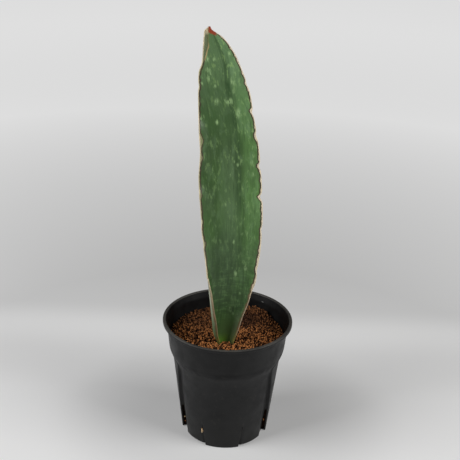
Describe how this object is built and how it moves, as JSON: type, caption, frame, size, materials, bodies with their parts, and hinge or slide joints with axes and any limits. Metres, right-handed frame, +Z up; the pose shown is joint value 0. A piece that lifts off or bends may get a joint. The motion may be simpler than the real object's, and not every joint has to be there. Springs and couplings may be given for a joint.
{
  "type": "potted snake plant",
  "caption": "Broad channelled snake plant leaf with a waved, scalloped margin, standing in clay granules in a round tapered plastic nursery pot with drain slits.",
  "frame": {"origin": "on the pot's axis, at the plane its feet stand on", "axes": "+Z up along the pot's axis; the leaf's channelled front face looks along -Y, and +X is to its right as seen from the front"},
  "size_m": [0.1298, 0.1298, 0.424],
  "materials": {
    "pot": "charcoal moulded plastic, satin, with a fine moulded grain and a worn lip",
    "substrate": "matt reddish-brown baked clay granules, each a little different",
    "leaf": "smooth waxy mid green leaf with pale mottling and a thin red-brown and cream margin"
  },
  "bodies": {
    "root": {"pot": "pot", "substrate": "substrate", "leaf": "leaf"}
  },
  "joints": []
}
